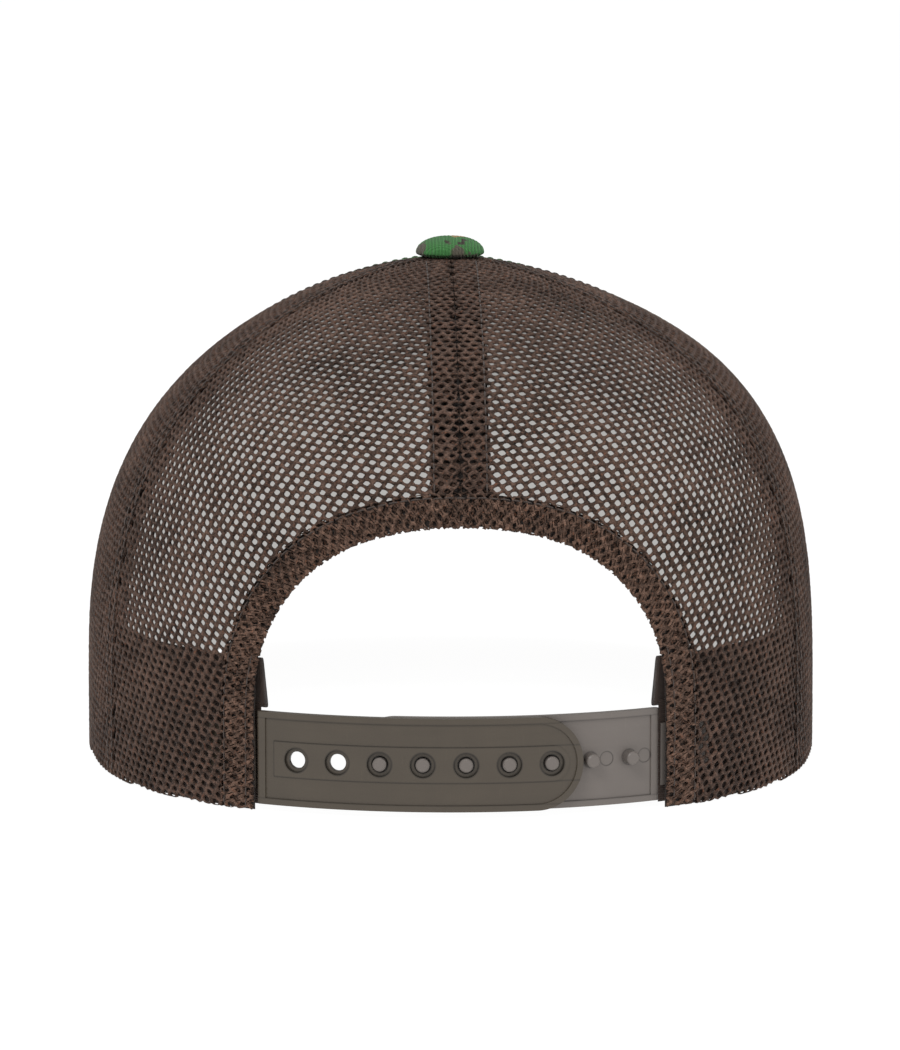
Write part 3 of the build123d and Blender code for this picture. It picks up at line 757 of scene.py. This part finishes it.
def opening_facing():
    """The net folded over the opening's edge, double and stitched down."""
    unit, run = opening_runs(4.0)
    ring, hole = mesh_cell()
    ring, hole = ring[:, ::-1] * [1, -1], hole[:, ::-1] * [1, -1]

    def place(places, inset):
        fold = places[..., 1]
        across = np.clip(np.abs(fold), 0, FACING_WIDTH - 0.05)
        back = np.clip(0.5 - fold / 1.6, 0, 1)
        back = back * back * (3 - 2 * back)
        depth = (np.asarray(inset) - NET_MIDDLE) * (1 - 2 * back) + 0.38 + back * 0.62
        return opening_place(unit, run, np.clip(places[..., 0], 0, run[-1]), across, depth)

    row, column = MESH_ROW[::-1] * [1, -1], MESH_COLUMN[::-1]
    centres = [i * row + j * column for i in range(-200, 200) for j in range(-200, 200)]
    centres = np.array(centres) + [run[-1] / 2, 0]
    keep = (np.abs(centres[:, 1]) < FACING_WIDTH - 0.2) & (centres[:, 0] > 0.5) & (centres[:, 0] < run[-1] - 0.5)
    piece = net_piece("opening_facing_net", centres[keep], ring, hole, place, FACING_RISES, (0, 40, 20), 2.4)
    finish_piece(piece, facing_yarn, slot="mesh", replaces=["opening_facing"])


def opening_backing():
    """Dark tape behind the folded edge, all the way round."""
    unit, run = opening_runs(4.0)
    along = np.linspace(0, run[-1], 260)
    across = np.linspace(0.12, FACING_WIDTH - 0.1, 8)
    s, t = np.meshgrid(along, across, indexing="ij")
    leg = np.minimum(s, run[-1] - s)
    t = t + 0.6 * (1 - t / FACING_WIDTH) * np.clip((leg - 26) / 8, 0, 1)
    outer, inner = (opening_place(unit, run, s, t, np.full_like(s, inset)) for inset in BACKING_LAYER)
    piece = cloth_sheet("opening_backing_tape", outer, inner, np.stack([t, s], -1) * MM)
    finish_piece(piece, dark_tape, slot="tape", replaces=["opening_tape"])


# ---------------------------------------------------------------- twill panels, lining, tapes
def crown_sheet(name, start, end, insets, material, slot, node, dip=0.0):
    """A sheet of cloth over part of the crown, whose edges dip into their seams."""
    rows, columns, gap = 70, 44, 0.15
    turns = start + (end - start) * np.linspace(0, 1, columns)
    grids = []
    for inset in insets:
        points = np.empty((rows, columns, 3))
        for j, turn in enumerate(turns):
            out, up, run = up_the_wall(turn, 1200)
            low = np.interp(float(rim_height(turn)), up, run)
            high = np.interp(-(APEX_HOLE + 0.2), -out, run)
            level = np.interp(np.linspace(low, high, rows), run, up)
            reach = reach_at(np.full(rows, turn), level)
            edge = np.minimum(abs(turn - start), abs(end - turn)) * reach
            squeeze = np.sign((start + end) / 2 - turn) * np.maximum(gap - edge, 0) / np.maximum(reach, 1)
            depth = inset + dip * np.exp(-((edge / 0.7) ** 2))
            depth = depth + dip * 0.8 * np.exp(-((np.linspace(0, high - low, rows) / 0.8) ** 2))
            points[:, j] = on_crown(turn + squeeze, level, depth)
        grids.append(points)
    up_run = run_along(grids[0][:, columns // 2])
    width = np.linalg.norm(np.diff(grids[0], axis=1), axis=2)
    across = np.concatenate([np.zeros((rows, 1)), np.cumsum(width, axis=1)], axis=1)
    across -= across[:, columns // 2][:, None]
    weave = np.stack([across, np.repeat(up_run[:, None], columns, 1)], -1) * MM
    finish_piece(cloth_sheet(name, *grids, weave), material, slot=slot, replaces=[node])


def seam_line(turn, low_extra, top_reach, low_height=None, count=400):
    """Heights and reaches up a seam, evenly spaced."""
    out, up, run = up_the_wall(turn)
    low = float(rim_height(turn)) + low_extra if low_height is None else low_height
    places = np.linspace(np.interp(low, up, run), np.interp(-top_reach, -out, run), count)
    return np.interp(places, run, up), np.interp(places, run, out), places


def beside_seam(turn, height, out, across, inset):
    """Points at a distance across from a seam."""
    x = out * math.sin(turn) + across * math.cos(turn)
    y = out * math.cos(turn) - across * math.sin(turn)
    top = over_crown(x, y, inset)
    ring = on_crown(turn + across / np.maximum(out, 8.0), height, inset)
    share = np.clip((out - 16) / 18, 0, 1)[..., None]
    return top * (1 - share) + ring * share


def seam_tape(name, turn, low_extra, top_reach, node, low_height=None, sides=(-TAPE_HALF, TAPE_HALF)):
    """Tape inside the crown over one seam, a little fuller in its middle."""
    height, out, places = seam_line(turn, low_extra, top_reach, low_height, 110)
    across = np.linspace(*sides, 9)
    level, a = np.meshgrid(height, across, indexing="ij")
    reach = np.repeat(out[:, None], 9, 1)
    crown = 0.12 * (1 - (a / 6.5) ** 2)
    outer = beside_seam(turn, level, reach, a, TAPE_LAYER[0] + 0 * a)
    inner = beside_seam(turn, level, reach, a, TAPE_LAYER[1] + crown)
    weave = np.stack([a, np.repeat(places[:, None], 9, 1)], -1) * MM
    finish_piece(cloth_sheet(name, outer, inner, weave), dark_tape, slot="tape", replaces=[node] if node else ())


def stitch_row(name, paths, material, length, gap, thick):
    """Machine stitches along paths of points and outward directions: a bead of thread that dips at both ends."""
    points, faces, weave = [], [], []
    sides, rings, base = 6, 5, 0
    arch = np.array([-0.35, 0.55, 0.85, 0.55, -0.35]) * thick
    size = np.array([0.45, 0.9, 1.0, 0.9, 0.45]) * thick
    for path, out in paths:
        run = run_along(path)
        for start in np.arange(0.2, run[-1] - length, length + gap):
            at = start + np.linspace(0, length, rings)
            middle = np.stack([np.interp(at, run, path[:, k]) for k in range(3)], 1)
            normal = np.stack([np.interp(at, run, out[:, k]) for k in range(3)], 1)
            normal /= np.linalg.norm(normal, axis=1, keepdims=True)
            along = np.gradient(middle, axis=0)
            along /= np.linalg.norm(along, axis=1, keepdims=True)
            side = np.cross(along, normal)
            wobble = rng.uniform(-0.05, 0.05)
            for k in range(rings):
                for m in range(sides):
                    angle = 2 * math.pi * m / sides
                    spot = middle[k] + normal[k] * (arch[k] + size[k] * math.sin(angle))
                    points.append(spot + side[k] * (size[k] * 1.15 * math.cos(angle) + wobble))
            for k in range(rings - 1):
                low, high = base + k * sides, base + (k + 1) * sides
                for m in range(sides):
                    n = (m + 1) % sides
                    faces.append([low + m, low + n, high + n, high + m])
                    weave.append([[m, at[k]], [m + 1, at[k]], [m + 1, at[k + 1]], [m, at[k + 1]]])
            for k, flip in ((0, 1), (rings - 1, -1)):
                for quad in ((0, 1, 2, 3), (0, 3, 4, 5)):
                    faces.append([base + k * sides + m for m in quad][::flip])
                    weave.append([[m, at[k]] for m in quad][::flip])
            base += sides * rings
    weave = np.array(weave) * [0.0002, MM]
    piece = write_mesh(name, np.array(points), np.array(faces), weave)
    fix_normals(piece)
    finish_piece(piece, material)


def fix_normals(piece):
    """Turn all the faces outwards."""
    select_only(piece)
    bpy.ops.object.mode_set(mode="EDIT")
    bpy.ops.mesh.select_all(action="SELECT")
    bpy.ops.mesh.normals_make_consistent(inside=False)
    bpy.ops.object.mode_set(mode="OBJECT")
    deselect()


def seam_rows(turn, distances, low_extra, low_height=None):
    """Stitch paths at distances beside a seam."""
    rows = []
    height, out, _ = seam_line(turn, low_extra, SEAM_TOP, low_height)
    for across in distances:
        path = beside_seam(turn, height, out, across + 0 * out, 0 * out + STITCH_LIFT)
        above = beside_seam(turn, height, out, across + 0 * out, 0 * out - 1.0)
        rows.append((path, above - path))
    return rows


# ---------------------------------------------------------------- sweatband
def sweatband():
    """A padded band folded round foam, with its ends cut back over the strap."""
    end = float(azimuth_of(np.array([45.45]), np.array([10.0]))[0])
    near_end, whole = 0.75, 2 * math.pi
    middle = np.linspace(near_end, whole - near_end, 240)[1:-1]
    turns = np.concatenate([np.linspace(end, near_end, 40), middle, np.linspace(whole - near_end, whole - end, 40)])
    (outer, inner), bead = BAND_LAYER, 20
    profile = []
    for k in range(bead):
        east, north = math.cos(2 * math.pi * k / bead), math.sin(2 * math.pi * k / bead)
        profile.append((np.sign(east) * abs(east) ** 0.5, np.sign(north) * abs(north) ** 0.22))
    profile = np.array(profile)
    rows = []
    for turn in turns:
        x = abs(math.sin(turn) * float(rim_reach(turn)))
        cut = 1 / (1 + math.exp((x - 51.0) * 4)) if math.cos(turn) > 0 else 0.0
        foot = max(float(rim_height(turn)), 0) + 0.35
        top = foot + BAND_HEIGHT
        foot = foot * (1 - cut) + (STRAP_TOP + 0.5) * cut
        height = (foot + top) / 2 + profile[:, 1] * (top - foot) / 2
        waist = 1 - 0.22 * np.exp(-((height - top + 3.0) ** 2)) - 0.15 * np.exp(-((height - foot - 3.0) ** 2))
        depth = (outer + inner) / 2 + profile[:, 0] * (inner - outer) / 2 * waist
        slant = 0.0015 * np.clip(height - foot, 0, 20) * cut * (1 if turn < math.pi else -1)
        rows.append(on_crown(turn + slant, height, depth))
    grid = np.array(rows)
    count = len(turns)
    faces, weave = [], []
    run, middle = run_along(grid[:, 0]), grid[count // 2]
    girth = run_along(np.vstack([middle, middle[:1]]))
    for i in range(count - 1):
        for k in range(bead):
            n = (k + 1) % bead
            faces.append([i * bead + k, i * bead + n, (i + 1) * bead + n, (i + 1) * bead + k])
            (s, t), (u, v) = run[i : i + 2], girth[k : k + 2]
            weave.append([[s, u], [s, v], [t, v], [t, u]])
    for i, flip in ((0, -1), (count - 1, 1)):
        for k in range(1, bead // 2):
            quad = [i * bead + m for m in (k - 1, k, bead - k - 1, (bead - k) % bead)]
            faces.append(quad[::flip])
            weave.append([[0, 0], [1, 0], [1, 1], [0, 1]])
    piece = write_mesh("sweatband_cover", grid.reshape(-1, 3), faces, np.array(weave) * MM)
    fix_normals(piece)
    finish_piece(piece, band_twill, slot="sweatband", replaces=["sweatband"])


def rim_hem():
    """The nets' lower edge turned in and stitched flat, from the rear opening to the front seams."""
    for side, word in ((1, "left"), (-1, "right")):
        start = float(azimuth_of(np.array([OPENING_HALF + 2.0]), np.array([5.0]))[0])
        turns = np.linspace(start, 2 * SEAM_STEP, 120) * side
        turn, lift = np.meshgrid(turns, np.linspace(0.2, 7.5, 6), indexing="ij")
        level = rim_height(turn) + lift
        weave = np.stack([turn * 88, lift], -1) * MM
        faces = (on_crown(turn, level, inset) for inset in HEM_LAYER)
        finish_piece(cloth_sheet(f"rim_hem_{word}", *faces, weave), band_twill, slot="tape")


def strap_shade_sheet():
    """A narrow dark cloth sheet behind each end of the strap, by the facing: painted shade that fills the gap beside
    the strap's end.
    """
    for side, word in ((1, "left"), (-1, "right")):
        x, level = np.meshgrid(np.linspace(46.15, 50.5, 6) * side, np.linspace(1.0, 24.4, 12), indexing="ij")
        faces = (on_crown(azimuth_of(x, level), level, inset) for inset in STRAP_SHADE_LAYER)
        weave = np.stack([x, level], -1) * MM
        finish_piece(cloth_sheet(f"strap_shade_sheet_{word}", *faces, weave), band_twill, slot="tape")


# ---------------------------------------------------------------- visor
def visor_edge(margin, count):
    """Plan of the visor's edge drawn in by a margin, from its left heel round the front to its right one."""
    width = VISOR_HALF_WIDTH - margin
    ahead = FRONT_DEPTH + VISOR_REACH + VISOR_WIDEST - margin
    heel = max(VISOR_HEEL - margin, 2.0)
    turn = np.linspace(0, math.pi, 400)
    x = width * np.abs(np.cos(turn)) ** (2 / VISOR_POWER) * np.sign(np.cos(turn))
    y = VISOR_WIDEST - ahead * np.maximum(np.sin(turn), 0) ** (2 / VISOR_POWER)
    bow = np.linspace(math.radians(70), 0, 40)[:-1]
    heel_x, heel_y = width - heel + heel * np.cos(bow), VISOR_WIDEST + heel * np.sin(bow)
    x = np.concatenate([heel_x, x, -heel_x[::-1]])
    y = np.concatenate([heel_y, y, heel_y[::-1]])
    azimuth = np.arctan2(x, y)
    inside = np.hypot(x, y) > rim_reach(azimuth) - VISOR_SEAT
    x, y = x[inside], y[inside]
    run = np.concatenate([[0], np.cumsum(np.hypot(np.diff(x), np.diff(y)))])
    even = np.linspace(0, run[-1], count)
    return np.interp(even, run, x), np.interp(even, run, y)


def visor_skins():
    """Grids of the visor's two covers: outer faces that roll round its edge, and the faces under them."""
    columns, rows = 150, 30
    edge_x, edge_y = visor_edge(0.0, columns)
    first, last = np.arctan2(edge_x[0], edge_y[0]), np.arctan2(edge_x[-1], edge_y[-1])
    turns = np.linspace(first, last + (2 * math.pi if last < 0 else 0), columns)
    seat = rim_reach(turns) - VISOR_SEAT
    seat_x, seat_y = seat * np.sin(turns), seat * np.cos(turns)
    length = np.hypot(edge_x - seat_x, edge_y - seat_y)
    inward_x = (seat_x - edge_x) / np.maximum(length, 1e-6)
    inward_y = (seat_y - edge_y) / np.maximum(length, 1e-6)
    half = VISOR_THICK / 2
    share = np.concatenate([np.linspace(0, 1, rows), np.full(6, 1.0)])
    roll = np.concatenate([np.zeros(rows), np.linspace(0, math.pi / 2, 7)[1:]])
    skins = {}
    for name, sign in (("top", 1), ("under", -1)):
        faces = []
        for depth in (0.0, 0.65):
            radius = half - depth - 0.08
            grid = np.empty((len(share), columns, 3))
            for i, (s, r) in enumerate(zip(share, roll)):
                pull = half - radius * math.sin(r) if r > 0 else half * s
                drop = radius * math.cos(r)
                x = seat_x + (edge_x - seat_x) * s + inward_x * np.minimum(pull, length)
                y = seat_y + (edge_y - seat_y) * s + inward_y * np.minimum(pull, length)
                grid[i] = np.stack([x, y, visor_top(x, y) - half + sign * (drop + 0.08)], -1)
            faces.append(grid)
        skins[name] = faces
    return skins


def visor():
    skins = visor_skins()
    for name, material, slot in (("top", camo_twill, "camo_twill"), ("under", under_twill, "under_twill")):
        outer, inner = skins[name]
        piece = cloth_sheet(f"visor_{name}", outer, inner, outer[..., :2] * MM, outward=None)
        fix_normals(piece)
        finish_piece(piece, material, slot=slot, replaces=[f"visor_{name}_cover"])
    rows_top, rows_under = [], []
    for margin in VISOR_STITCH_MARGINS:
        x, y = visor_edge(margin, 500)
        clear = np.hypot(x, y) > rim_reach(np.arctan2(x, y)) + 1.2
        x, y = x[clear], y[clear]
        up = np.tile([0.0, 0.0, 1.0], (len(x), 1))
        rows_top.append((np.stack([x, y, visor_top(x, y)], -1), up))
        rows_under.append((np.stack([x, y, visor_top(x, y) - VISOR_THICK - 0.02], -1), -up))
    stitch_row("visor_top_stitches", rows_top, green_thread, 2.3, 0.6, 0.17)
    stitch_row("visor_under_stitches", rows_under, brown_thread, 2.3, 0.6, 0.17)


# ---------------------------------------------------------------- button
def button():
    """Twill pulled over a domed cap, gathered under its edge."""
    low, high = (np.array(c) * 1000 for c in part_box("button_cover"))
    centre, radius = (low + high) / 2, (high[0] - low[0]) / 2
    deselect()
    bpy.ops.mesh.primitive_uv_sphere_add(segments=96, ring_count=48, radius=1.0, location=(0, 0, 0))
    piece = bpy.context.active_object
    piece.name = piece.data.name = "button_twill_cover"
    count = len(piece.data.vertices)
    co = np.empty(count * 3)
    piece.data.vertices.foreach_get("co", co)
    co = co.reshape(-1, 3)
    edge_z, top_z, foot_z = low[2] + 1.0, high[2], low[2] - 0.5
    out = np.hypot(co[:, 0], co[:, 1])
    share = co[:, 2]
    z = edge_z + np.where(share >= 0, top_z - edge_z, edge_z - foot_z) * share
    swell = np.where(out > 0, out**0.86 / np.maximum(out, 1e-9), 0)
    angle = np.arctan2(co[:, 1], co[:, 0])
    gather = 1 + 0.012 * np.sin(angle * 34) * np.clip(-share * 2, 0, 1)
    rib = 0.05 * np.sin(co[:, 0] * radius * 2 * math.pi / 0.8) * np.clip(share * 4 + 0.6, 0, 1)
    x, y = co[:, 0] * swell * radius * gather, co[:, 1] * swell * radius * gather
    x, y = np.clip(x, -radius, radius), np.clip(y, -radius, radius)
    placed = np.stack([x + centre[0], y + centre[1], z + rib], -1) * MM
    piece.data.vertices.foreach_set("co", placed.ravel())
    piece.data.update()
    layer = piece.data.uv_layers.new(name="Weave")
    loops = np.empty(len(piece.data.loops), int)
    piece.data.loops.foreach_get("vertex_index", loops)
    layer.data.foreach_set("uv", placed[loops][:, :2].ravel())
    piece.data.polygons.foreach_set("use_smooth", [True] * len(piece.data.polygons))
    finish_piece(piece, button_twill, slot="camo_twill", replaces=["button_cover"])


# ---------------------------------------------------------------- assembly
def crown():
    """The crown's nets, seam allowances, twill, lining, tapes, hem, and dark sheets of painted shade behind the
    strap's ends.
    """
    for side, word in ((1, "left"), (-1, "right")):
        mesh_panel(f"rear_net_{word}", SEAM_STEP / 2 * side, side, f"rear_mesh_{word}")
        mesh_panel(f"side_net_{word}", SEAM_STEP * 1.5 * side, side, f"side_mesh_{word}")
        turned_back = (0, "back", side, 6.95), (1, "rear_side", side, 5.2), (2, "front_side", -side, 6.95)
        for k, name, way, width in turned_back:
            label = "a" if way > 0 else "b"
            seam_allowance(f"{name}_allowance_{word}_{label}", SEAM_STEP * k * side, way, width)
        start = math.pi if side < 0 else 2 * SEAM_STEP
        ends = start, start + SEAM_STEP
        crown_sheet(f"front_twill_{word}", *ends, TWILL_LAYER, camo_twill, "camo_twill", f"front_panel_{word}", 0.45)
        crown_sheet(f"front_lining_{word}", *ends, LINING_LAYER, white_buckram, "buckram", f"buckram_{word}")
        folded = (-0.8, 4.9) if side > 0 else (-4.9, 0.8)
        seam_tape(f"rear_tape_{word}", SEAM_STEP * side, 1.5, 8.0, f"rear_seam_tape_{word}", sides=folded)
        seam_tape(f"front_tape_{word}", 2 * SEAM_STEP * side, 1.8, 8.0, f"front_seam_tape_{word}")
    seam_tape("centre_tape_rear", 0.0, 0, 0.5, "centre_seam_tape", OPENING_SIDE_TOP + OPENING_RISE + 5)
    seam_tape("centre_tape_front", math.pi, 9.0, 0.5, None)
    rim_hem()
    strap_shade_sheet()


def stitching():
    """Rows of stitches beside the seams and round the rear opening."""
    rows = seam_rows(0.0, (-5.9, 5.9), 0, ARCH_TOP)
    for side in (1, -1):
        rows += seam_rows(SEAM_STEP * side, (1.1 * side, 4.4 * side), 1.0)
        rows += seam_rows(2 * SEAM_STEP * side, (-5.6 * side,), 1.0)
    unit, run = opening_runs(FACING_WIDTH - 0.9)
    along = np.linspace(0.5, run[-1] - 0.5, 700)
    for across, keep in ((FACING_WIDTH - 1.0, along), (1.6, along[:130]), (1.6, along[-130:])):
        path = opening_place(unit, run, keep, across + 0 * keep, 0 * keep + 0.1)
        above = opening_place(unit, run, keep, across + 0 * keep, 0 * keep - 1.0)
        rows.append((path, above - path))
    stitch_row("net_stitches", rows, brown_thread, 2.0, 0.5, 0.16)
    front = seam_rows(math.pi, (-2.2, 2.2), 0.5)
    for side in (1, -1):
        front += seam_rows(2 * SEAM_STEP * side, (2.2 * side,), 0.5)
    stitch_row("front_stitches", front, green_thread, 2.1, 0.7, 0.2)


def kept_nodes():
    """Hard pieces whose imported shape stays, and hidden cores, with their finishes."""
    for name, material in (
        ("snap_strap_holes", holes_plastic), ("strap_tab_left", holes_plastic), ("snap_strap_pegs", pegs_plastic),
        ("strap_tab_right", pegs_plastic), ("button_cap", plated_steel), ("button_tack", plated_steel),
        ("button_washer", plated_steel), ("visor_board", board_sheet), ("sweatband_foam", band_foam),
    ):
        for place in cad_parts[name].material_slots:
            place.material = material


# ---------------------------------------------------------------- stage
def plain_finish(name, colour, glow):
    """Matt paper that gives off a little light."""
    f = Finish(name)
    colour = f.mix(f.noise(f.coordinates(), 3, 2.0), toned(colour, 0.985), colour)
    f.shader.inputs["Emission Color"].default_value = (1, 1, 1, 1)
    return f.made(colour, 0.9, specular_ior_level=0.0, emission_strength=glow)


def glowing_card_finish():
    """A card that glows though it is no lamp, as painted light: white in its middle, grey round it and darker towards
    the top as painted shade.
    """
    f = Finish("lit card")
    x, _, z = f.parts(f.coordinates())
    wide = abs((x + 0.0055) * (1 / 0.058)) ** 2.35
    high = f.node("ShaderNodeMath", {"operation": "MAXIMUM"}, {0: (z + 0.0136) * (1 / 0.055), 1: 0.0}) ** 2.35
    white = ((1.06 - (wide + high)) * 16).kept()
    fade = 1.0 - ((z - 0.062) * (1 / 0.05)).kept() * 0.72
    grey = f.mix(fade.kept(), (0.0, 0.0, 0.0), (0.40, 0.39, 0.375))
    glow = f.mix(white, grey, (0.95, 0.95, 0.95))
    # The card's glow is painted light: its white part shows through the rear opening and its grey through the net's
    # holes.
    f.tree.links.new(glow.socket, f.shader.inputs["Emission Color"])
    return f.made((0.12, 0.12, 0.12), 0.9, specular_ior_level=0.0, emission_strength=1.0)


def stage():
    """Pale floor, the glowing card inside the crown as painted light, and soft light."""
    deselect()
    bpy.ops.mesh.primitive_plane_add(size=80, location=(0, 0, -0.0002))
    floor = bpy.context.active_object
    floor.name = "floor"
    floor.data.materials.append(plain_finish("pale paper", (0.08, 0.08, 0.08), 0.97))
    # A shaping card inside the front of the crown that glows as painted light.
    turn, share = np.meshgrid(np.radians(np.linspace(*CARD_TURNS, 80)), np.linspace(0, 1, 40), indexing="ij")
    foot = visor_top(80 * np.sin(turn), 86 * np.cos(turn)) - VISOR_THICK - 2.0
    level = foot + (CARD_TOP - foot) * share
    faces = (on_crown(turn, level, inset) for inset in CARD_LAYER)
    card = cloth_sheet("shaping_card", *faces, np.stack([turn, level], -1) * MM)
    card.data.materials.append(glowing_card_finish())
    world = bpy.data.worlds.new("studio")
    bpy.context.scene.world = world
    world.use_nodes = True
    back = world.node_tree.nodes["Background"]
    back.inputs[0].default_value, back.inputs[1].default_value = (1.0, 1.0, 1.0, 1.0), ROOM_LIGHT
    for name, spot, size, power in LAMPS:
        lamp = bpy.data.objects.new(name, bpy.data.lights.new(name, "AREA"))
        lamp.data.size, lamp.data.energy = size, power
        lamp.location = spot
        lamp.rotation_mode = "QUATERNION"
        lamp.rotation_quaternion = (Vector(spot) - Vector((0, 0, 0.06))).to_track_quat("Z", "Y")
        bpy.context.scene.collection.objects.link(lamp)


def camera():
    distance, rise, swing = 1.1, math.radians(10.4), math.radians(1.55)
    spot = Vector((math.cos(rise) * math.sin(swing), math.cos(rise) * math.cos(swing), math.sin(rise))) * distance
    aim = Vector((0, 0, 0.0527))
    eye = bpy.data.objects.new("camera", bpy.data.cameras.new("camera"))
    eye.data.sensor_width, eye.data.lens = 36, 155.0
    eye.location = spot
    eye.rotation_mode = "QUATERNION"
    eye.rotation_quaternion = (spot - aim).to_track_quat("Z", "Y")
    bpy.context.scene.collection.objects.link(eye)
    bpy.context.scene.camera = eye


crown()
opening_facing()
opening_backing()
stitching()
sweatband()
visor()
button()
kept_nodes()
stage()
camera()
bpy.context.scene.view_settings.view_transform = "Standard"
